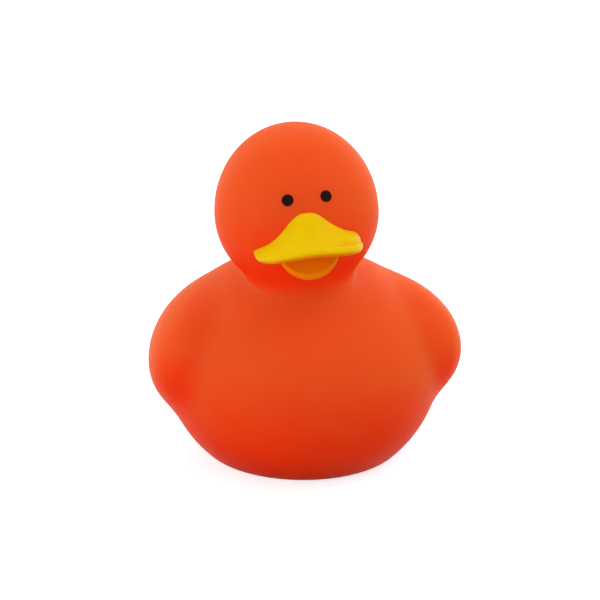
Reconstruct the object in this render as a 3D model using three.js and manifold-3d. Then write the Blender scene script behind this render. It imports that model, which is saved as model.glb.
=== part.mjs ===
// Rubber duck: one hollow vinyl moulding with a painted bill and painted eyes.
// Millimetres, +Z up, the bill points along -Y, the origin is under the middle of the base.

import * as THREE from 'three';
import { LoftGeometry } from 'three/addons/geometries/LoftGeometry.js';
import { mergeVertices } from 'three/addons/utils/BufferGeometryUtils.js';
import Module from 'manifold-3d';

// Skin
const WALL = 2;
const BASE_ROUND = 2;
const VENT_DIAMETER = 3.2;

// Torso, measured from its own centre
const TORSO_Y = 2;
const TORSO_Z = 24.5;
const TORSO_SIDE = 34.6;
const TORSO_FRONT = 37;
const TORSO_BACK = 38;
const TORSO_UP = 27;
const TORSO_DOWN = 32;

// Wings, a mirrored pair: the roll, pitch and yaw turn each one about its own centre
const WING_X = 26.8;
const WING_Y = 3.5;
const WING_Z = 28.5;
const WING_HALF_THICKNESS = 10.2;
const WING_FRONT = 22;
const WING_BACK = 26;
const WING_UP = 14.4;
const WING_DOWN = 14.7;
const WING_ROLL_DEG = -19;
const WING_PITCH_DEG = -12.8;
const WING_YAW_DEG = 13.6;
const WING_TIP_RISE = 7;
const WING_TIP_OUT = 3;
const WING_BLEND = 5;

// Tail, an upturned tongue on the back
const TAIL_Y = 30;
const TAIL_Z = 36;
const TAIL_LENGTH = 23;
const TAIL_HALF_WIDTH = 13;
const TAIL_HALF_THICKNESS = 7.5;
const TAIL_PITCH_DEG = 47;
const TAIL_BLEND = 9;

// Head, measured from its own centre. It leans sideways about a pivot in the body and turns a little
const HEAD_LEAN_DEG = 4.2;
const HEAD_TURN_DEG = -1.5;
const LEAN_PIVOT_Z = 25;
const HEAD_Y = -8.4;
const HEAD_Z = 64.3;
const HEAD_SIDE = 19.7;
const HEAD_DEPTH = 20.5;
const HEAD_UP = 21.6;
const HEAD_DOWN = 18.9;
const NECK_BLEND = 3.5;
const CHEST_BLEND = 10;
const CHEST_REACH = 15;

// Upper bill, measured from the head's centre: forward, across and up
const BILL_HALF_WIDTH = 12.5;
const BILL_CORNER_FORWARD = 19.5;
const BILL_TIP_FORWARD = 30;
const BILL_BLUNTNESS = 3;
const BILL_THICKNESS = 2.2;
const BILL_HEIGHT = -2.5;
const BILL_CORNER_DROP = 1.6;
const BILL_CURL = 0.4;
const RIDGE_HEIGHT = 6;
const RIDGE_HALF_WIDTH = 6.2;
const RIDGE_ROUNDNESS = 2.6;
const RIDGE_FALL = 1.9;
const RIM_WIDTH = 2.4;
const RIM_GROOVE = 0.9;
const LEDGE_HEIGHT = 0.8;
const LEDGE_RUN = 1.2;
const LEDGE_START_SHARE = 0.45;
const LEDGE_END_SHARE = 0.75;

// Lower bill: a drooping scoop under the upper one
const SCOOP_HALF_WIDTH = 7.3;
const SCOOP_FORWARD = 17.5;
const SCOOP_HEIGHT = -4.6;
const SCOOP_LENGTH = 8;
const SCOOP_DROOP_DEG = 55;
const SCOOP_THICKNESS = 2.2;
const SCOOP_DISH = 0.9;
const SCOOP_DISH_SHARE = 0.5;
const SCOOP_CURL = 1;

// Eyes: round spots of paint on the face, a little to one side of its middle
const EYE_DIAMETER = 2.75;
const EYE_APART = 9;
const EYE_ASIDE = 0.5;
const EYE_HEIGHT = 7.65;
const PAINT_FILM = 0.12;

// Facets
const SKIN_RINGS = 68;
const SKIN_POINTS = 60;
const CAVITY_RINGS = 32;
const CAVITY_POINTS = 26;
const BILL_SECTIONS = 27;
const SCOOP_SECTIONS = 15;
const BILL_STEPS = 9;
const NOSE_STEPS = 4;
const ROUND_STEPS = 28;
const EDGE_ROUNDNESS = 6;

// Loft of the skin: where its fan of planes turns, and how its outlines are spaced and found
const FAN_AHEAD = 3;
const FAN_ABOVE = 4.5;
const FAN_TRIALS = 240;
const TRIAL_POINTS = 4;
const BEND_LENGTH = 5;
const MARCH = 0.5;
const HALVINGS = 40;
const WELD = 1e-4;

const wasm = await Module();
wasm.setup();

const { degToRad, clamp, lerp, smoothstep } = THREE.MathUtils;
const TINY = 1e-9;

const leanFrame = new THREE.Matrix4()
  .makeTranslation(0, 0, LEAN_PIVOT_Z)
  .multiply(new THREE.Matrix4().makeRotationY(-degToRad(HEAD_LEAN_DEG)))
  .multiply(new THREE.Matrix4().makeTranslation(0, 0, -LEAN_PIVOT_Z));
const headFrame = leanFrame
  .clone()
  .multiply(new THREE.Matrix4().makeTranslation(0, HEAD_Y, HEAD_Z))
  .multiply(new THREE.Matrix4().makeRotationZ(degToRad(HEAD_TURN_DEG)));
const wingFrame = new THREE.Matrix4()
  .makeTranslation(WING_X, WING_Y, WING_Z)
  .multiply(new THREE.Matrix4().makeRotationZ(degToRad(WING_YAW_DEG)))
  .multiply(new THREE.Matrix4().makeRotationX(degToRad(WING_PITCH_DEG)))
  .multiply(new THREE.Matrix4().makeRotationY(degToRad(WING_ROLL_DEG)));
const tailFrame = new THREE.Matrix4()
  .makeTranslation(0, TAIL_Y, TAIL_Z)
  .multiply(new THREE.Matrix4().makeRotationX(degToRad(TAIL_PITCH_DEG)));
const torsoFrame = new THREE.Matrix4().makeTranslation(0, TORSO_Y, TORSO_Z);

// An egg is an ellipsoid that reaches a different distance on either side of its centre.
// Its function gives about the distance from a point to the egg's skin, negative inside.
function egg(frame, low, high, bend = new THREE.Vector3()) {
  const toLocal = frame.clone().invert();
  const local = new THREE.Vector3();
  return (x, y, z) => {
    local.set(x, y, z).applyMatrix4(toLocal);
    const along = Math.max(local.y, 0) / high.y;
    local.addScaledVector(bend, -along * along);
    let size = 0;
    let slope = 0;
    for (const axis of ['x', 'y', 'z']) {
      const reach = local[axis] < 0 ? low[axis] : high[axis];
      const share = local[axis] / reach;
      size += share * share;
      slope += (share / reach) ** 2;
    }
    size = Math.sqrt(size);
    return (size * (size - 1)) / Math.max(Math.sqrt(slope), TINY);
  };
}

// The smaller of two distances, with the crease between them rounded over the given width
function blend(a, b, width) {
  const overlap = Math.max(width - Math.abs(a - b), 0) / width;
  return Math.min(a, b) - (overlap * overlap * width) / 4;
}

const torso = egg(
  torsoFrame,
  new THREE.Vector3(TORSO_SIDE, TORSO_FRONT, TORSO_DOWN),
  new THREE.Vector3(TORSO_SIDE, TORSO_BACK, TORSO_UP),
);
const wing = egg(
  wingFrame,
  new THREE.Vector3(WING_HALF_THICKNESS, WING_FRONT, WING_DOWN),
  new THREE.Vector3(WING_HALF_THICKNESS, WING_BACK, WING_UP),
  new THREE.Vector3(WING_TIP_OUT, 0, WING_TIP_RISE),
);
const tailReach = new THREE.Vector3(TAIL_HALF_WIDTH, TAIL_LENGTH, TAIL_HALF_THICKNESS);
const tail = egg(tailFrame, tailReach, tailReach);
const head = egg(
  headFrame,
  new THREE.Vector3(HEAD_SIDE, HEAD_DEPTH, HEAD_DOWN),
  new THREE.Vector3(HEAD_SIDE, HEAD_DEPTH, HEAD_UP),
);

// The whole skin: soft under the chin, a narrow crease round the sides and back of the neck
function skin(x, y, z) {
  const body = blend(blend(torso(x, y, z), wing(Math.abs(x), y, z), WING_BLEND), tail(x, y, z), TAIL_BLEND);
  const front = smoothstep(HEAD_Y - y, 0, CHEST_REACH);
  const whole = blend(body, head(x, y, z), lerp(NECK_BLEND, CHEST_BLEND, front));
  return -blend(-whole, z, BASE_ROUND);
}

// The skin is lofted through half-planes that turn about an axis across the back, in the hollow
// between head and tail: from the tail tip under the belly, up the breast, round the neck to the crown.
const TAIL_TIP_Y = TAIL_Y + TAIL_LENGTH * Math.cos(degToRad(TAIL_PITCH_DEG));
const FAN_Y = (HEAD_Y + HEAD_DEPTH + TAIL_TIP_Y) / 2 - FAN_AHEAD;
const FAN_Z = TORSO_Z + TORSO_UP + FAN_ABOVE;
const FAN_REACH = 2 * (HEAD_Z + HEAD_UP);

function bisect(inside, outside, isInside) {
  let low = inside;
  let high = outside;
  for (let step = 0; step < HALVINGS; step++) {
    const middle = (low + high) / 2;
    if (isInside(middle)) low = middle;
    else high = middle;
  }
  return low;
}

function fanPoint(turn, across, out) {
  return new THREE.Vector3(across, FAN_Y + out * Math.cos(turn), FAN_Z - out * Math.sin(turn));
}

// The leaning head carries the middle of its sections off the plane of symmetry
function midline(turn, out) {
  const share = smoothstep(turn, Math.PI / 2, Math.PI);
  const height = Math.max(fanPoint(turn, 0, out).z - LEAN_PIVOT_Z, 0);
  return -share * height * Math.tan(degToRad(HEAD_LEAN_DEG));
}

// Where a half-plane of the fan enters and leaves the body on its midline, or null
function span(turn, level) {
  const isInside = (out) => {
    const point = fanPoint(turn, midline(turn, out), out);
    return skin(point.x, point.y, point.z) < level;
  };
  let first = null;
  let last = null;
  for (let out = MARCH; out < FAN_REACH; out += MARCH) {
    if (!isInside(out)) continue;
    first ??= out;
    last = out;
  }
  if (first === null) return null;
  return [bisect(first, first - MARCH, isInside), bisect(last, last + MARCH, isInside)];
}

// The outline that one half-plane cuts, found along rays from the middle of the section
function fanOutline(turn, level, points) {
  const [near, far] = span(turn, level);
  const middle = (near + far) / 2;
  const centre = midline(turn, middle);
  const ray = (across, out) => {
    const at = (scale) => fanPoint(turn, centre + across * scale, middle + out * scale);
    const isInside = (scale) => skin(...at(scale).toArray()) < level;
    const stride = MARCH / Math.hypot(across, out);
    let scale = stride;
    while (isInside(scale)) scale += stride;
    return at(bisect(scale - stride, scale, isInside));
  };
  const halfWidth = ray(1, 0).x - centre;
  const outline = [];
  for (let j = 0; j < points; j++) {
    const angle = (2 * Math.PI * j) / points;
    const point = ray(halfWidth * Math.cos(angle), (-(far - near) / 2) * Math.sin(angle));
    if (Math.abs(point.z) < WELD) point.z = 0;
    outline.push(point);
  }
  return outline;
}

// Turns of the fan whose outlines stand evenly apart at the back, the front and the sides,
// and closer where the skin bends from one to the next
function evenTurns(level, count) {
  const meets = (turn) => span(turn, level) !== null;
  const below = Math.PI / 2;
  const first = bisect(below, -below, meets);
  const last = bisect(below, 3 * below, meets);
  const turns = [];
  const lengths = [];
  let before = null;
  let strideBefore = null;
  for (let i = 0; i <= FAN_TRIALS; i++) {
    const turn = lerp(first, last, i / FAN_TRIALS);
    const outline = fanOutline(turn, level, TRIAL_POINTS);
    const stride = before?.map((point, j) => outline[j].clone().sub(point));
    const steps = stride?.map((step) => step.length()) ?? [0];
    const bends = strideBefore?.map((step, j) => step.angleTo(stride[j])) ?? [0];
    lengths.push((lengths.at(-1) ?? 0) + Math.max(...steps) + BEND_LENGTH * Math.max(...bends));
    turns.push(turn);
    before = outline;
    strideBefore = stride;
  }
  return Array.from({ length: count }, (_, i) => {
    const wanted = (lengths.at(-1) * (i + 0.5)) / count;
    const after = lengths.findIndex((length) => length >= wanted);
    const share = (wanted - lengths[after - 1]) / (lengths[after] - lengths[after - 1]);
    return lerp(turns[after - 1], turns[after], share);
  });
}

function fanLoft(level, rings, points) {
  const outlines = evenTurns(level, rings).map((turn) => fanOutline(turn, level, points));
  return new LoftGeometry(outlines, { capStart: true, capEnd: true });
}

// A plate lofted across its width: each section runs forward on top and back underneath,
// with a round nose between. The edges thin out towards both ends.
function plate(halfWidth, count, section) {
  const sections = [];
  for (let i = 0; i < count; i++) {
    const across = -halfWidth * Math.cos((Math.PI * (i + 0.5)) / count);
    sections.push(section(across).map(([forward, up]) => new THREE.Vector3(across, -forward, up)));
  }
  return new LoftGeometry(sections, { capStart: true, capEnd: true });
}

function plateSection(back, front, thickness, heightAt, topAt) {
  const radius = thickness / 2;
  const points = [];
  for (let i = 0; i <= BILL_STEPS; i++) {
    const forward = lerp(back, front - radius, i / BILL_STEPS);
    points.push([forward, heightAt(forward) + radius + topAt(forward)]);
  }
  const noseHeight = heightAt(front - radius);
  const noseTop = topAt(front - radius);
  for (let i = 1; i < NOSE_STEPS; i++) {
    const angle = Math.PI * (0.5 - i / NOSE_STEPS);
    const up = Math.sin(angle) * radius + Math.max(Math.sin(angle), 0) * noseTop;
    points.push([front - radius + Math.cos(angle) * radius, noseHeight + up]);
  }
  for (let i = BILL_STEPS; i >= 0; i--) {
    const forward = lerp(back, front - radius, i / BILL_STEPS);
    points.push([forward, heightAt(forward) - radius]);
  }
  return points;
}

// How much of a plate's thickness is left towards its rounded ends
function roundedEdge(share) {
  return Math.sqrt(1 - share ** EDGE_ROUNDNESS);
}

// Upper bill: a broad plate with a blunt front, a ridge down from the forehead and a grooved lip
function upperBill() {
  const root = HEAD_DEPTH - 2 * WALL - BILL_THICKNESS;
  return plate(BILL_HALF_WIDTH, BILL_SECTIONS, (across) => {
    const share = Math.abs(across) / BILL_HALF_WIDTH;
    const bluntness = Math.sqrt(1 - share ** BILL_BLUNTNESS);
    const front = lerp(BILL_CORNER_FORWARD, BILL_TIP_FORWARD, bluntness);
    const edge = roundedEdge(share);
    const height = BILL_HEIGHT - BILL_CORNER_DROP * share ** 2;
    const bell = Math.exp(-((Math.abs(across) / RIDGE_HALF_WIDTH) ** RIDGE_ROUNDNESS));
    const side = edge * smoothstep(share, LEDGE_START_SHARE, LEDGE_END_SHARE);
    const topAt = (forward) => {
      const down = clamp((BILL_TIP_FORWARD - forward) / (BILL_TIP_FORWARD - HEAD_DEPTH), 0, 1);
      const behind = front - RIM_WIDTH - forward;
      const ledge = LEDGE_HEIGHT * smoothstep(behind, 0, LEDGE_RUN);
      const groove = RIM_GROOVE * Math.exp(-(((3 * behind) / RIM_WIDTH) ** 2));
      return RIDGE_HEIGHT * down ** RIDGE_FALL * bell + side * (ledge - groove);
    };
    const heightAt = (forward) => height - BILL_CURL * ((forward - root) / (BILL_TIP_FORWARD - root)) ** 2;
    return plateSection(root, front, BILL_THICKNESS * edge, heightAt, topAt);
  });
}

// Lower bill: a dished tongue that droops from the mouth
function lowerBill() {
  const back = -HEAD_DEPTH / 4;
  const scoop = plate(SCOOP_HALF_WIDTH, SCOOP_SECTIONS, (across) => {
    const share = Math.abs(across) / SCOOP_HALF_WIDTH;
    const front = SCOOP_LENGTH * Math.sqrt(1 - share ** 2);
    const thickness = SCOOP_THICKNESS * roundedEdge(share);
    const topAt = (forward) => {
      const fromEdge = clamp((front - forward) / SCOOP_LENGTH, 0, 1) * (1 - share ** 2);
      return -SCOOP_DISH * smoothstep(fromEdge, 0, SCOOP_DISH_SHARE);
    };
    const heightAt = (forward) => SCOOP_CURL * ((forward - back) / (SCOOP_LENGTH - back)) ** 2;
    return plateSection(back, front, thickness, heightAt, topAt);
  });
  scoop.rotateX(degToRad(SCOOP_DROOP_DEG));
  return scoop.translate(0, -SCOOP_FORWARD, SCOOP_HEIGHT);
}

// A short round bar through the face where an eye is painted
function eyeBar(side) {
  const across = EYE_ASIDE + (side * EYE_APART) / 2;
  const rest = 1 - (across / HEAD_SIDE) ** 2 - (EYE_HEIGHT / HEAD_UP) ** 2;
  const centre = new THREE.Vector3(across, -HEAD_DEPTH * Math.sqrt(rest), EYE_HEIGHT);
  const normal = new THREE.Vector3(
    centre.x / HEAD_SIDE ** 2,
    centre.y / HEAD_DEPTH ** 2,
    centre.z / HEAD_UP ** 2,
  ).normalize();
  const bar = new THREE.CylinderGeometry(EYE_DIAMETER / 2, EYE_DIAMETER / 2, 2 * WALL, ROUND_STEPS);
  const turn = new THREE.Quaternion().setFromUnitVectors(new THREE.Vector3(0, 1, 0), normal);
  return bar.applyQuaternion(turn).translate(centre.x, centre.y, centre.z);
}

function solid(geometry) {
  const bare = new THREE.BufferGeometry().copy(geometry);
  bare.deleteAttribute('normal');
  bare.deleteAttribute('uv');
  const merged = mergeVertices(bare, WELD);
  const mesh = new wasm.Mesh({
    numProp: 3,
    vertProperties: new Float32Array(merged.attributes.position.array),
    triVerts: new Uint32Array(merged.index.array),
  });
  return new wasm.Manifold(mesh).asOriginal();
}

const vinyl = new THREE.MeshStandardMaterial({ color: 0xeb501e, roughness: 0.5, metalness: 0 });
const billPaint = new THREE.MeshStandardMaterial({ color: 0xf0c80a, roughness: 0.45, metalness: 0 });
const eyePaint = new THREE.MeshStandardMaterial({ color: 0x120808, roughness: 0.3, metalness: 0 });

function makeDuck() {
  const shell = solid(fanLoft(0, SKIN_RINGS, SKIN_POINTS));
  const cavity = solid(fanLoft(-WALL, CAVITY_RINGS, CAVITY_POINTS));
  const bills = [upperBill(), lowerBill()].map((bill) => solid(bill.applyMatrix4(headFrame)));
  const film = solid(fanLoft(PAINT_FILM, SKIN_RINGS, SKIN_POINTS));
  const eyes = [-1, 1].map((side) => solid(eyeBar(side).applyMatrix4(headFrame)));
  const vent = new THREE.CylinderGeometry(VENT_DIAMETER / 2, VENT_DIAMETER / 2, 4 * WALL, ROUND_STEPS);
  vent.rotateX(Math.PI / 2).translate(0, TORSO_Y, 0);

  let duck = shell;
  for (const bill of bills) duck = duck.add(bill);
  for (const eye of eyes) duck = duck.add(film.intersect(eye));
  duck = duck.subtract(cavity).subtract(solid(vent));

  const finish = new Map();
  for (const bill of bills) finish.set(bill.originalID(), 1);
  finish.set(film.originalID(), 2);
  for (const eye of eyes) finish.set(eye.originalID(), 2);
  const mesh = duck.getMesh();
  const geometry = new THREE.BufferGeometry();
  geometry.setAttribute('position', new THREE.BufferAttribute(new Float32Array(mesh.vertProperties), 3));
  geometry.setIndex(new THREE.BufferAttribute(new Uint32Array(mesh.triVerts), 1));
  mesh.runOriginalID.forEach((id, run) => {
    const start = mesh.runIndex[run];
    geometry.addGroup(start, mesh.runIndex[run + 1] - start, finish.get(id) ?? 0);
  });
  geometry.computeVertexNormals();
  return new THREE.Mesh(geometry, [vinyl, billPaint, eyePaint]);
}

const duck = makeDuck();
duck.name = 'duck';
const box = new THREE.Box3().setFromObject(duck);
duck.position.y = -(box.min.y + box.max.y) / 2;

const part = new THREE.Group();
part.add(duck);

export default part;
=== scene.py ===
"""Rubber duck: a fine vinyl skin with a painted bill and painted eyes, on a white studio floor."""

import math

import bpy
import numpy as np
from mathutils import Matrix, Vector


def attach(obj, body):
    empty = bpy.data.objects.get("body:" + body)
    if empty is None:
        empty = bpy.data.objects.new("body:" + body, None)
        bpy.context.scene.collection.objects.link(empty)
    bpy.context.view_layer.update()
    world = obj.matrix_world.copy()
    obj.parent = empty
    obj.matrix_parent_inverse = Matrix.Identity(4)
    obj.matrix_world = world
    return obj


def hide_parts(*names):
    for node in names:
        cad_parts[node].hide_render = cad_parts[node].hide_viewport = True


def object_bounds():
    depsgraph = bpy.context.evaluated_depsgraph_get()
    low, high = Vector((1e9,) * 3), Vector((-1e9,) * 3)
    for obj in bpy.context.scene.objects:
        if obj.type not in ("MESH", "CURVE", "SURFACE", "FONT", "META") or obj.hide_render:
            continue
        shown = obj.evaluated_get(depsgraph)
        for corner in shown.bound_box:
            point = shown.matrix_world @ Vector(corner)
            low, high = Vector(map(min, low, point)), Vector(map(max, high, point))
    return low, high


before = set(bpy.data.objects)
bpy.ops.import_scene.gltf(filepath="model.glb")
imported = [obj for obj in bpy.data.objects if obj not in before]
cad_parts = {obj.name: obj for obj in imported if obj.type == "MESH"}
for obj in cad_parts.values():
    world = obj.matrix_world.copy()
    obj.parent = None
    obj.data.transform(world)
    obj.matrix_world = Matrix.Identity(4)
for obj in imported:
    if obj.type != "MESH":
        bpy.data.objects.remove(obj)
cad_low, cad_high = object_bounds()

MM = 0.001

# Sizes of the body in millimetres and degrees, as in the CAD model
BASE_ROUND = 2
VENT_DIAMETER = 3.2
VENT_DEPTH = 6
TORSO_AT = (0, 2, 24.5)
TORSO_LOW = (34.6, 37, 32)
TORSO_HIGH = (34.6, 38, 27)
WING_AT = (26.8, 3.5, 28.5)
WING_LOW = (10.2, 22, 14.7)
WING_HIGH = (10.2, 26, 14.4)
WING_ROLL = -19
WING_PITCH = -12.8
WING_YAW = 13.6
WING_TIP = (3, 0, 7)
WING_BLEND = 5
TAIL_AT = (0, 30, 36)
TAIL_REACH = (13, 23, 7.5)
TAIL_PITCH = 47
TAIL_BLEND = 9
HEAD_LEAN = 4.2
HEAD_TURN = -1.5
LEAN_PIVOT_Z = 25
HEAD_AT = (0, -8.4, 64.3)
HEAD_LOW = (19.7, 20.5, 18.9)
HEAD_HIGH = (19.7, 20.5, 21.6)
NECK_BLEND = 3.5
CHEST_BLEND = 10
CHEST_REACH = 15

# Sizes of the bill and the eyes. A pair gives the duck's right half of the bill first, then its left
BILL_HALF_WIDTH = 12.5
BILL_ROOT = 14.3
BILL_CORNER_FORWARD = 19.5
BILL_TIP_FORWARD = 30
BILL_FRONT_ROUND = 3
BILL_THICKNESS = 2.2
BILL_HEIGHT = -2.5
BILL_CORNER_DROP = (2.3, 1.6)
BILL_EDGE_ROUND = (3, 14)
BILL_CURL = 0.4
RIDGE_HEIGHT = 6
RIDGE_HALF_WIDTH = 6.2
RIDGE_ROUNDNESS = 2.6
RIDGE_FALL = 1.9
LEDGE_HEIGHT = (0.1, 0.9)
LEDGE_RUN = 1.2
RIM_WIDTH = 2.4
RIM_GROOVE = (0.05, 1.1)
RIM_GROOVES_ACROSS = 3
RIM_START_SHARE = 0.3
RIM_END_SHARE = 0.65
SCOOP_HALF_WIDTH = 7.3
SCOOP_FORWARD = 17.5
SCOOP_HEIGHT = -4.6
SCOOP_BACK = -5.1
SCOOP_LENGTH = 8
SCOOP_DROOP = 55
SCOOP_THICKNESS = 2.2
SCOOP_EDGE_ROUND = 6
SCOOP_DISH = 0.35
SCOOP_DISH_SHARE = 0.25
SCOOP_CURL = 1
EYE_DIAMETER = 2.75
EYE_APART = 9.0
EYE_ASIDE = 0.5
EYE_HEIGHT = 7.65
EYE_SINK = 1
PAINT_FILM = 0.1
PAINT_EDGE_FALL = 0.6
PAINT_EDGE_ROUND = 4

# Fineness of the meshes
SKIN_STEP = 0.62
SKIN_LOW = (-42, -38, -2)
SKIN_HIGH = (42, 52, 90)
SKIN_PULLS = 2
PLATE_SECTIONS = 96
PLATE_STEPS = 40
NOSE_STEPS = 12
EYE_RINGS = 6
EYE_SPOKES = 64
EYE_CENTRE_SHARE = 0.02
EYE_PULLS = 6
VENT_SPOKES = 48
SHARP_EDGE = math.radians(38)

# Looks of the vinyl and the paint: a noise is its scale and detail, scatter is in metres, and facing is
# the range of a face's upward tilt over which the colour steps from painted shade to painted light
VINYL_LOOK = {
    "painted_shade_facing": (-0.9, 0.4),
    "mottle": (90, 4),
    "mottle_reach": 0.1,
    "grain": (400, 3),
    "roughness": (0.42, 0.52),
    "scatter": 1,
    "scatter_radius": (1, 0.2, 0.1),
    "scatter_scale": 0.02,
    "gloss": 0.035,
    "bump": (2200, 2),
}
BILL_LOOK = {
    "painted_shade_facing": (-0.5, 0.3),
    "mottle": (250, 3),
    "mottle_reach": 0.12,
    "grain": (700, 3),
    "roughness": (0.28, 0.38),
    "scatter": 0.3,
    "scatter_radius": (1, 0.4, 0.1),
    "scatter_scale": 0.003,
    "gloss": 0.03,
    "bump": (1500, 2),
}
BUMP_HEIGHT = 0.00002
NOISE_LOW = 0.3
NOISE_HIGH = 0.7

# Colours with painted shade and light: a deeper colour for faces that look down, then a lighter one for
# faces that look up, as light from above falls
VINYL_SHADED_AND_LIT_COLORS = ((0.95, 0.026, 0.0012, 1), (0.82, 0.1, 0.015, 1))
BILL_SHADED_AND_LIT_COLORS = ((0.86, 0.226, 0.001, 1), (0.86, 0.565, 0.001, 1))
SCOOP_SHADED_AND_LIT_COLORS = ((0.94, 0.21, 0.001, 1), (0.96, 0.285, 0.001, 1))
EYE_MOTTLE = (900, 2)
EYE_DARK = (0.008, 0.0025, 0.002, 1)
EYE_PALE = (0.016, 0.005, 0.004, 1)
EYE_ROUGHNESS = 0.3
EYE_GLOSS = 0.08

# Specks of dust on the vinyl: how closely they lie, and the radius of each in metres
SPECK_SCALE = 110
SPECK_REACH = 0.00028
SPECK_CORE_SHARE = 0.5
SPECK_COLOR = (0.95, 0.4, 0.25, 1)

# Lamps: name, place, width and height in metres, and power in watts
LAMP_AIM = (0, 0, 0.04)
LAMPS = (
    ("left_box", (-0.45, -0.2, 0.11), (0.4, 0.18), 0.64),
    ("right_box", (0.35, -0.15, 0.45), (0.3, 0.3), 0.86),
    ("top_box", (0, 0.4, 0.45), (0.5, 0.3), 0.38),
    ("back_left_box", (-0.35, 0.4, 0.2), (0.3, 0.3), 0.3),
    ("back_right_box", (0.35, 0.4, 0.2), (0.3, 0.3), 0.3),
)

# Stage: a pale floor, which rays that see it directly find white, and a plain white world
WHITE = (1, 1, 1, 1)
FLOOR_HALF_WIDTH = 4000
FLOOR_COLOR = (0.62, 0.62, 0.62, 1)
FLOOR_ROUGHNESS = 0.9
FLOOR_SEEN_STRENGTH = 0.74
WORLD_STRENGTH = 0.71

# Camera: the photograph's angle, aimed at a point of the modelling frame
CAMERA_AZIMUTH = math.radians(-9.12)
CAMERA_ELEVATION = math.radians(16)
CAMERA_DISTANCE = 520
CAMERA_AIM = (-0.69, 0, 39.67)
CAMERA_LENS = 126.5
CAMERA_SENSOR = 36


def turned(at, *turns):
    """A frame at a point, turned about its axes in the given order."""
    frame_at = Matrix.Translation(at)
    for axis, degrees in turns:
        frame_at = frame_at @ Matrix.Rotation(math.radians(degrees), 4, axis)
    return frame_at


LEAN = turned((0, 0, LEAN_PIVOT_Z), ("Y", -HEAD_LEAN)) @ Matrix.Translation((0, 0, -LEAN_PIVOT_Z))
TORSO = turned(TORSO_AT)
WING = turned(WING_AT, ("Z", WING_YAW), ("X", WING_PITCH), ("Y", WING_ROLL))
TAIL = turned(TAIL_AT, ("X", TAIL_PITCH))
HEAD = LEAN @ turned(HEAD_AT, ("Z", HEAD_TURN))
SCOOP = HEAD @ turned((0, -SCOOP_FORWARD, SCOOP_HEIGHT), ("X", SCOOP_DROOP))


def egg(points, place, low, high, bend=(0, 0, 0)):
    """About the distance to an ellipsoid with its own reach on either side, negative inside."""
    place = np.array(place)
    local = (points - place[:3, 3]) @ place[:3, :3]
    along = np.maximum(local[..., 1:2], 0) / high[1]
    local = local - along**2 * np.array(bend)
    reach = np.where(local < 0, low, high)
    size = np.linalg.norm(local / reach, axis=-1)
    slope = np.linalg.norm(local / reach**2, axis=-1)
    return size * (size - 1) / np.maximum(slope, 1e-9)


def blend(a, b, width):
    """The smaller of two distances, with the crease between them rounded over a width."""
    overlap = np.maximum(width - np.abs(a - b), 0) / width
    return np.minimum(a, b) - overlap**2 * width / 4


def smoothstep(value, start, end):
    share = np.clip((value - start) / (end - start), 0, 1)
    return share * share * (3 - 2 * share)


def lerp(start, end, share):
    return start + (end - start) * share


def skin(points):
    """The duck's skin: soft under the chin, a narrow crease round the sides and back of the neck."""
    mirrored = points.copy()
    mirrored[..., 0] = np.abs(mirrored[..., 0])
    torso = egg(points, TORSO, TORSO_LOW, TORSO_HIGH)
    wings = egg(mirrored, WING, WING_LOW, WING_HIGH, WING_TIP)
    tail = egg(points, TAIL, TAIL_REACH, TAIL_REACH)
    body = blend(blend(torso, wings, WING_BLEND), tail, TAIL_BLEND)
    head = egg(points, HEAD, HEAD_LOW, HEAD_HIGH)
    front = smoothstep(HEAD_AT[1] - points[..., 1], 0, CHEST_REACH)
    whole = blend(body, head, lerp(NECK_BLEND, CHEST_BLEND, front))
    return -blend(-whole, points[..., 2], BASE_ROUND)


def slope_of(field, points, step=1e-3):
    """A field's value and its slope along each axis."""
    here = field(points)
    return here, np.stack([(field(points + step * axis) - here) / step for axis in np.eye(3)], -1)


def surface(field, low, high, step):
    """Quads on the zero level of a field: one point in each grid cell it crosses, then pulled onto it."""
    low = np.array(low, float)
    counts = np.ceil((np.array(high) - low) / step).astype(int) + 1
    axes = [low[k] + step * np.arange(counts[k]) for k in range(3)]
    values = np.empty(counts)
    for i, x in enumerate(axes[0]):
        across, up = np.meshgrid(axes[1], axes[2], indexing="ij")
        values[i] = field(np.stack([np.full_like(across, x), across, up], -1))
    inside = values < 0

    # The cells that the surface crosses, numbered
    corners = [(a, b, c) for a in (0, 1) for b in (0, 1) for c in (0, 1)]
    held = np.zeros(counts - 1, int)
    for a, b, c in corners:
        held += inside[a:counts[0] - 1 + a, b:counts[1] - 1 + b, c:counts[2] - 1 + c]
    crossed = (held > 0) & (held < len(corners))
    cells = np.argwhere(crossed)
    number = np.full(counts - 1, -1)
    number[crossed] = np.arange(len(cells))

    # A point in each cell: the mean of the places where its edges cross the surface
    total = np.zeros((len(cells), 3))
    share = np.zeros(len(cells))
    for corner in corners:
        for k in range(3):
            if corner[k]:
                continue
            start = cells + corner
            end = start + np.eye(3, dtype=int)[k]
            at_start, at_end = values[tuple(start.T)], values[tuple(end.T)]
            hit = (at_start < 0) != (at_end < 0)
            point = start[hit].astype(float)
            point[:, k] += at_start[hit] / (at_start[hit] - at_end[hit])
            total[hit] += point
            share[hit] += 1
    points = total / share[:, None] * step + low

    # A quad round each grid edge that crosses the surface
    quads = []
    for k in range(3):
        one, two = np.eye(3, dtype=int)[(k + 1) % 3], np.eye(3, dtype=int)[(k + 2) % 3]
        first = np.take(inside, range(counts[k] - 1), axis=k)
        second = np.take(inside, range(1, counts[k]), axis=k)
        edges = np.argwhere(first != second)
        ring = [edges - one - two, edges - two, edges, edges - one]
        quad = np.stack([number[tuple(cell.T)] for cell in ring], 1)
        back = ~first[tuple(edges.T)]
        quad[back] = quad[back][:, ::-1]
        quads.append(quad)

    for _ in range(SKIN_PULLS):
        value, slope = slope_of(field, points)
        points = points - (value / np.maximum((slope**2).sum(-1), 1e-6))[:, None] * slope
    return points, np.concatenate(quads)


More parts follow.
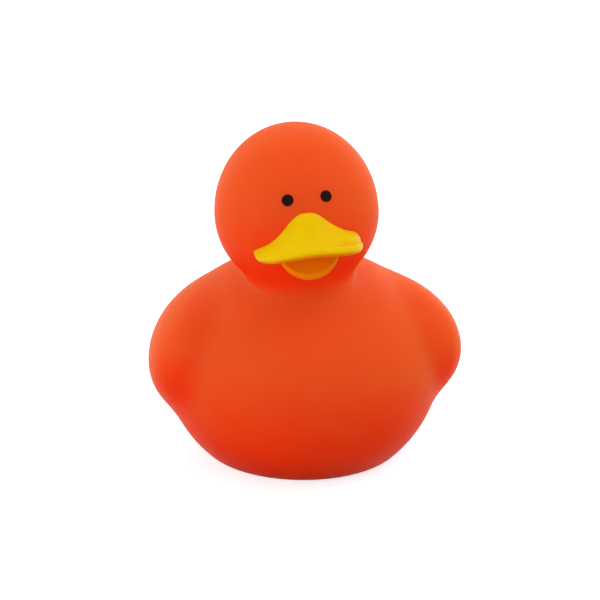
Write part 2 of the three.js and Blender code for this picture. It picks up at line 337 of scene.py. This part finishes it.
def loft(sections):
    """A closed solid through rings of points, with a fan of triangles on either end."""
    sections = np.array(sections)
    rings, count = sections.shape[:2]
    points = sections.reshape(-1, 3)
    faces = []
    for i in range(rings - 1):
        for j in range(count):
            after = (j + 1) % count
            faces.append((i * count + j, i * count + after, (i + 1) * count + after, (i + 1) * count + j))
    ends = [sections[0].mean(0), sections[-1].mean(0)]
    first, last = len(points), len(points) + 1
    for j in range(count):
        after = (j + 1) % count
        faces.append((first, after, j))
        faces.append((last, (rings - 1) * count + j, (rings - 1) * count + after))
    return np.concatenate([points, ends]), faces


def plate_section(across, back, front, thickness, height_at, top_at):
    """One section of a plate: forward on top, round the nose and back underneath."""
    radius = thickness / 2
    forward = lerp(back, front - radius, np.linspace(0, 1, PLATE_STEPS + 1))
    top = np.stack([forward, height_at(forward) + radius + top_at(forward)], 1)
    bottom = np.stack([forward, height_at(forward) - radius], 1)[::-1]
    angle = np.pi * (0.5 - np.arange(1, NOSE_STEPS) / NOSE_STEPS)
    rise = np.sin(angle) * radius + np.maximum(np.sin(angle), 0) * top_at(front - radius)
    nose = np.stack([front - radius + np.cos(angle) * radius, height_at(front - radius) + rise], 1)
    outline = np.concatenate([top, nose, bottom])
    return np.stack([np.full(len(outline), across), -outline[:, 0], outline[:, 1]], 1)


def plate(half_width, section):
    """A plate lofted from side to side, with its sections closer together at the sides."""
    turns = np.pi * (np.arange(PLATE_SECTIONS) + 0.5) / PLATE_SECTIONS
    return loft([section(across) for across in -half_width * np.cos(turns)])


def upper_section(across):
    """A section of the upper bill: the ridge in the middle, the ledge and the grooved rim at the sides."""
    half = int(across > 0)
    share = abs(across) / BILL_HALF_WIDTH
    front = lerp(BILL_CORNER_FORWARD, BILL_TIP_FORWARD, (1 - share**BILL_FRONT_ROUND) ** 0.5)
    edge = (1 - share ** BILL_EDGE_ROUND[half]) ** 0.5
    height = BILL_HEIGHT - BILL_CORNER_DROP[half] * share**2
    bell = math.exp(-((abs(across) / RIDGE_HALF_WIDTH) ** RIDGE_ROUNDNESS))
    side = edge * smoothstep(share, RIM_START_SHARE, RIM_END_SHARE)

    def top_at(forward):
        down = np.clip((BILL_TIP_FORWARD - forward) / (BILL_TIP_FORWARD - HEAD_LOW[1]), 0, 1)
        behind = front - RIM_WIDTH - forward
        ledge = LEDGE_HEIGHT[half] * smoothstep(behind, 0, LEDGE_RUN)
        groove = RIM_GROOVE[half] * np.exp(-((RIM_GROOVES_ACROSS * behind / RIM_WIDTH) ** 2))
        return RIDGE_HEIGHT * down**RIDGE_FALL * bell + side * (ledge - groove)

    def height_at(forward):
        return height - BILL_CURL * ((forward - BILL_ROOT) / (BILL_TIP_FORWARD - BILL_ROOT)) ** 2

    return plate_section(across, BILL_ROOT, front, BILL_THICKNESS * edge, height_at, top_at)


def lower_section(across):
    """A section of the lower bill: a dished scoop that curls up towards its front."""
    share = abs(across) / SCOOP_HALF_WIDTH
    front = SCOOP_LENGTH * (1 - share**2) ** 0.5

    def top_at(forward):
        from_edge = np.clip((front - forward) / SCOOP_LENGTH, 0, 1) * (1 - share**2)
        return -SCOOP_DISH * smoothstep(from_edge, 0, SCOOP_DISH_SHARE)

    def height_at(forward):
        return SCOOP_CURL * ((forward - SCOOP_BACK) / (SCOOP_LENGTH - SCOOP_BACK)) ** 2

    thickness = SCOOP_THICKNESS * (1 - share**SCOOP_EDGE_ROUND) ** 0.5
    return plate_section(across, SCOOP_BACK, front, thickness, height_at, top_at)


def placed(points, place):
    place = np.array(place)
    return points @ place[:3, :3].T + place[:3, 3]


def eye(side):
    """A round spot of paint that follows the face."""
    across = EYE_ASIDE + side * EYE_APART / 2
    rest = 1 - (across / HEAD_HIGH[0]) ** 2 - (EYE_HEIGHT / HEAD_HIGH[2]) ** 2
    centre = np.array((across, -HEAD_HIGH[1] * rest**0.5, EYE_HEIGHT))
    centre = placed(centre, HEAD)
    _, normal = slope_of(skin, centre)
    normal = normal / np.linalg.norm(normal)
    sideways = np.cross(normal, (0, 0, 1))
    sideways /= np.linalg.norm(sideways)
    upward = np.cross(sideways, normal)
    turns = np.linspace(0, 2 * np.pi, EYE_SPOKES, endpoint=False)
    circle = np.outer(np.cos(turns), sideways) + np.outer(np.sin(turns), upward)

    def ring(radius, level):
        points = centre + radius * circle
        for _ in range(EYE_PULLS):
            points = points + np.outer(level - skin(points), normal)
        return points

    radius = EYE_DIAMETER / 2
    sections = [ring(radius, -EYE_SINK)]
    for share in np.linspace(1, EYE_CENTRE_SHARE, EYE_RINGS):
        film = PAINT_FILM * (1 - PAINT_EDGE_FALL * share**PAINT_EDGE_ROUND)
        sections.append(ring(radius * share, film))
    return loft(sections)


def vent():
    """A round bar through the base, to be cut away."""
    turns = np.linspace(0, 2 * np.pi, VENT_SPOKES, endpoint=False)
    circle = np.stack([np.cos(turns), np.sin(turns), np.zeros_like(turns)], 1) * VENT_DIAMETER / 2
    return loft([circle + (0, TORSO_AT[1], level) for level in (-VENT_DEPTH, VENT_DEPTH)])


def mesh_object(name, points, faces, material):
    mesh = bpy.data.meshes.new(name)
    mesh.from_pydata((points * MM).tolist(), [], [list(map(int, face)) for face in faces])
    mesh.materials.append(material)
    made = bpy.data.objects.new(name, mesh)
    bpy.context.scene.collection.objects.link(made)
    return made


def joined(base, tool, operation):
    """The base with one solid added or cut away. The tool's faces keep their own material."""
    change = base.modifiers.new(tool.name, "BOOLEAN")
    change.operation = operation
    change.solver = "MANIFOLD"
    change.material_mode = "TRANSFER"
    change.object = tool
    evaluated = base.evaluated_get(bpy.context.evaluated_depsgraph_get())
    result = bpy.data.meshes.new_from_object(evaluated)
    base.modifiers.clear()
    base.data = result
    bpy.data.objects.remove(tool)


def node_material(name):
    material = bpy.data.materials.new(name)
    material.use_nodes = True
    nodes = material.node_tree.nodes
    return material, nodes, material.node_tree.links, nodes["Principled BSDF"]


def noise_on(nodes, links, scale, detail):
    where = nodes.new("ShaderNodeTexCoord")
    noise = nodes.new("ShaderNodeTexNoise")
    noise.inputs["Scale"].default_value = scale
    noise.inputs["Detail"].default_value = detail
    links.new(where.outputs["Object"], noise.inputs["Vector"])
    return noise.outputs["Fac"]


def ramp_on(nodes, links, value, first, last):
    """A colour between two stops, each a position and a colour."""
    ramp = nodes.new("ShaderNodeValToRGB")
    for element, stop in zip(ramp.color_ramp.elements, (first, last)):
        element.position, element.color = stop
    links.new(value, ramp.inputs["Fac"])
    return ramp.outputs["Color"]


def range_on(nodes, links, noise, low, high):
    """A noise spread over a range."""
    spread = nodes.new("ShaderNodeMapRange")
    spread.inputs["From Min"].default_value = NOISE_LOW
    spread.inputs["From Max"].default_value = NOISE_HIGH
    spread.inputs["To Min"].default_value = low
    spread.inputs["To Max"].default_value = high
    links.new(noise, spread.inputs["Value"])
    return spread.outputs["Result"]


def bump_on(nodes, links, value, shader):
    bump = nodes.new("ShaderNodeBump")
    bump.inputs["Distance"].default_value = BUMP_HEIGHT
    links.new(value, bump.inputs["Height"])
    links.new(bump.outputs["Normal"], shader.inputs["Normal"])


def painted_shade_on(nodes, links, low, high):
    """Painted shade and light: 0 on faces that look down and 1 on faces that look up, with a soft step
    between.
    """
    where = nodes.new("ShaderNodeTexCoord")
    split = nodes.new("ShaderNodeSeparateXYZ")
    step = nodes.new("ShaderNodeMapRange")
    step.interpolation_type = "SMOOTHSTEP"
    step.inputs["From Min"].default_value = low
    step.inputs["From Max"].default_value = high
    links.new(where.outputs["Normal"], split.inputs["Vector"])
    links.new(split.outputs["Z"], step.inputs["Value"])
    return step.outputs["Result"]


def math_on(nodes, links, operation, one, two):
    result = nodes.new("ShaderNodeMath")
    result.operation = operation
    links.new(one, result.inputs[0])
    links.new(two, result.inputs[1])
    return result.outputs[0]


def specks_on(nodes, links, color):
    """A colour with a few pale specks of dust, each about half a millimetre across."""
    where = nodes.new("ShaderNodeTexCoord")
    spread = nodes.new("ShaderNodeTexVoronoi")
    spread.inputs["Scale"].default_value = SPECK_SCALE
    links.new(where.outputs["Object"], spread.inputs["Vector"])
    near = nodes.new("ShaderNodeMapRange")
    near.inputs["From Min"].default_value = SPECK_REACH * SPECK_SCALE
    near.inputs["From Max"].default_value = SPECK_CORE_SHARE * SPECK_REACH * SPECK_SCALE
    links.new(spread.outputs["Distance"], near.inputs["Value"])
    mix = nodes.new("ShaderNodeMix")
    mix.data_type = "RGBA"
    links.new(near.outputs["Result"], mix.inputs["Factor"])
    links.new(color, mix.inputs["A"])
    mix.inputs["B"].default_value = SPECK_COLOR
    return mix.outputs["Result"]


def soft_material(name, look, shaded_and_lit_colors, specks=False):
    """A soft satin finish with a faint mottle and painted shade: one colour on faces that look down and a
    lighter one on faces that look up.
    """
    material, nodes, links, shader = node_material(name)
    reach = look["mottle_reach"]
    mottle = range_on(nodes, links, noise_on(nodes, links, *look["mottle"]), -reach, reach)
    # Painted shade and light by a face's tilt, with a random mottle on top
    shade_and_mottle = math_on(nodes, links, "ADD", painted_shade_on(nodes, links, *look["painted_shade_facing"]), mottle)
    color = ramp_on(nodes, links, shade_and_mottle, (0, shaded_and_lit_colors[0]), (1, shaded_and_lit_colors[1]))
    if specks:
        color = specks_on(nodes, links, color)
    links.new(color, shader.inputs["Base Color"])
    roughness = range_on(nodes, links, noise_on(nodes, links, *look["grain"]), *look["roughness"])
    links.new(roughness, shader.inputs["Roughness"])
    shader.inputs["Subsurface Weight"].default_value = look["scatter"]
    shader.inputs["Subsurface Radius"].default_value = look["scatter_radius"]
    shader.inputs["Subsurface Scale"].default_value = look["scatter_scale"]
    shader.inputs["Specular IOR Level"].default_value = look["gloss"]
    bump_on(nodes, links, noise_on(nodes, links, *look["bump"]), shader)
    return material


def eye_material():
    """Satin black paint."""
    material, nodes, links, shader = node_material("eye_paint")
    mottle = noise_on(nodes, links, *EYE_MOTTLE)
    color = ramp_on(nodes, links, mottle, (NOISE_LOW, EYE_DARK), (NOISE_HIGH, EYE_PALE))
    links.new(color, shader.inputs["Base Color"])
    shader.inputs["Roughness"].default_value = EYE_ROUGHNESS
    shader.inputs["Specular IOR Level"].default_value = EYE_GLOSS
    return material


vinyl = soft_material("vinyl", VINYL_LOOK, VINYL_SHADED_AND_LIT_COLORS, specks=True)
bill_paint = soft_material("bill_paint", BILL_LOOK, BILL_SHADED_AND_LIT_COLORS)
scoop_paint = soft_material("scoop_paint", BILL_LOOK, SCOOP_SHADED_AND_LIT_COLORS)
eye_paint = eye_material()

duck = mesh_object("duck_skin", *surface(skin, SKIN_LOW, SKIN_HIGH, SKIN_STEP), vinyl)
bill_points, bill_faces = plate(BILL_HALF_WIDTH, upper_section)
upper = mesh_object("upper_bill", placed(bill_points, HEAD), bill_faces, bill_paint)
scoop_points, scoop_faces = plate(SCOOP_HALF_WIDTH, lower_section)
lower = mesh_object("lower_bill", placed(scoop_points, SCOOP), scoop_faces, scoop_paint)
joined(duck, lower, "UNION")
joined(duck, upper, "UNION")
for side in (-1, 1):
    joined(duck, mesh_object("eye", *eye(side), eye_paint), "UNION")
joined(duck, mesh_object("vent", *vent(), vinyl), "DIFFERENCE")

# The finished mesh stands in the CAD model's box, on the floor and under its middle
coords = np.empty(len(duck.data.vertices) * 3)
duck.data.vertices.foreach_get("co", coords)
coords = coords.reshape(-1, 3)
low, high = coords.min(0), coords.max(0)
fit = min(1, *(np.array(cad_high - cad_low) / (high - low)))
middle = (np.array(cad_low) + np.array(cad_high)) / 2
shift = np.array((0, middle[1] - fit * (low[1] + high[1]) / 2, cad_low[2] - fit * low[2]))
coords = coords * fit + shift
duck.data.vertices.foreach_set("co", coords.ravel())
duck.data.shade_smooth()
duck.data.set_sharp_from_angle(angle=SHARP_EDGE)
duck.data.update()

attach(duck, "root")
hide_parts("duck")


def light(name, at, size, power):
    lamp = bpy.data.lights.new(name, "AREA")
    lamp.shape = "RECTANGLE"
    lamp.size, lamp.size_y = size
    lamp.energy = power
    made = bpy.data.objects.new(name, lamp)
    made.location = at
    made.rotation_euler = (Vector(LAMP_AIM) - Vector(at)).to_track_quat("-Z", "Y").to_euler()
    bpy.context.scene.collection.objects.link(made)


for lamp_values in LAMPS:
    light(*lamp_values)


def seen_directly(nodes, links):
    """1 for rays from the camera, from a gloss or through a clear body, and 0 for the rest."""
    path = nodes.new("ShaderNodeLightPath")
    most = path.outputs["Is Camera Ray"]
    for name in ("Is Glossy Ray", "Is Transmission Ray"):
        most = math_on(nodes, links, "MAXIMUM", most, path.outputs[name])
    return most


def stage_material():
    """A pale floor that the camera sees as white, with the object's shadow kept faint."""
    material, nodes, links, shader = node_material("floor")
    shader.inputs["Base Color"].default_value = FLOOR_COLOR
    shader.inputs["Roughness"].default_value = FLOOR_ROUGHNESS
    shader.inputs["Specular IOR Level"].default_value = 0
    shader.inputs["Emission Color"].default_value = WHITE
    strength = nodes.new("ShaderNodeMath")
    strength.operation = "MULTIPLY"
    strength.inputs[1].default_value = FLOOR_SEEN_STRENGTH
    links.new(seen_directly(nodes, links), strength.inputs[0])
    links.new(strength.outputs[0], shader.inputs["Emission Strength"])
    return material


floor_corners = np.array([(-1, -1, 0), (1, -1, 0), (1, 1, 0), (-1, 1, 0)]) * FLOOR_HALF_WIDTH
floor = mesh_object("floor", floor_corners, [(0, 1, 2, 3)], stage_material())

world = bpy.data.worlds.new("studio")
bpy.context.scene.world = world
world.use_nodes = True
background = world.node_tree.nodes["Background"]
background.inputs["Color"].default_value = WHITE
background.inputs["Strength"].default_value = WORLD_STRENGTH

camera_data = bpy.data.cameras.new("camera")
camera_data.sensor_width = CAMERA_SENSOR
camera_data.lens = CAMERA_LENS
camera = bpy.data.objects.new("camera", camera_data)
bpy.context.scene.collection.objects.link(camera)
aim = Vector(CAMERA_AIM) * MM + Vector((0, shift[1], 0))
away = Vector((
    math.sin(CAMERA_AZIMUTH) * math.cos(CAMERA_ELEVATION),
    -math.cos(CAMERA_AZIMUTH) * math.cos(CAMERA_ELEVATION),
    math.sin(CAMERA_ELEVATION),
))
camera.location = aim + away * CAMERA_DISTANCE * MM
camera.rotation_euler = (-away).to_track_quat("-Z", "Y").to_euler()
bpy.context.scene.camera = camera

bpy.context.scene.view_settings.view_transform = "Standard"
